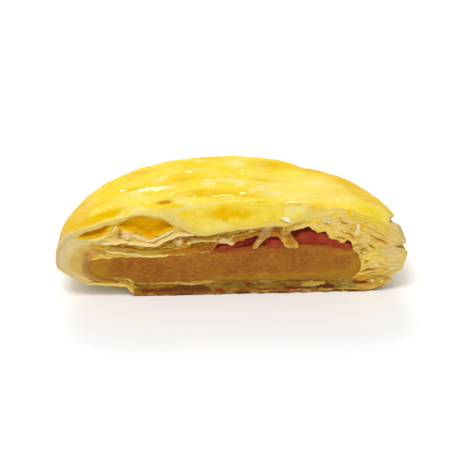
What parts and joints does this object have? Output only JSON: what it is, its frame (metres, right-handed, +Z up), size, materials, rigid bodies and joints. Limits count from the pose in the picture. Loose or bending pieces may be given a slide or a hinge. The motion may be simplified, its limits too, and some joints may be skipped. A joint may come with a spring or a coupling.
{
  "type": "sun cake half",
  "caption": "Half of a round flaky pastry with a domed egg-glazed top, cut to show malt paste filling, a thin syrup layer and small hollows.",
  "frame": {"origin": "middle of the underside of the half, on the surface it rests on", "axes": "+X along the cut from its left end to its right end, +Y from the cut to the back, +Z up"},
  "size_m": [0.085, 0.0421, 0.0239],
  "materials": {
    "pastry": "baked flaky dough, glossy egg glaze on top, pale on the side",
    "filling": "soft tan-brown malt paste",
    "syrup": "sticky dark red syrup"
  },
  "bodies": {
    "root": {"flaky_pastry": "pastry", "malt_filling": "filling", "syrup_layer": "syrup"}
  },
  "joints": []
}
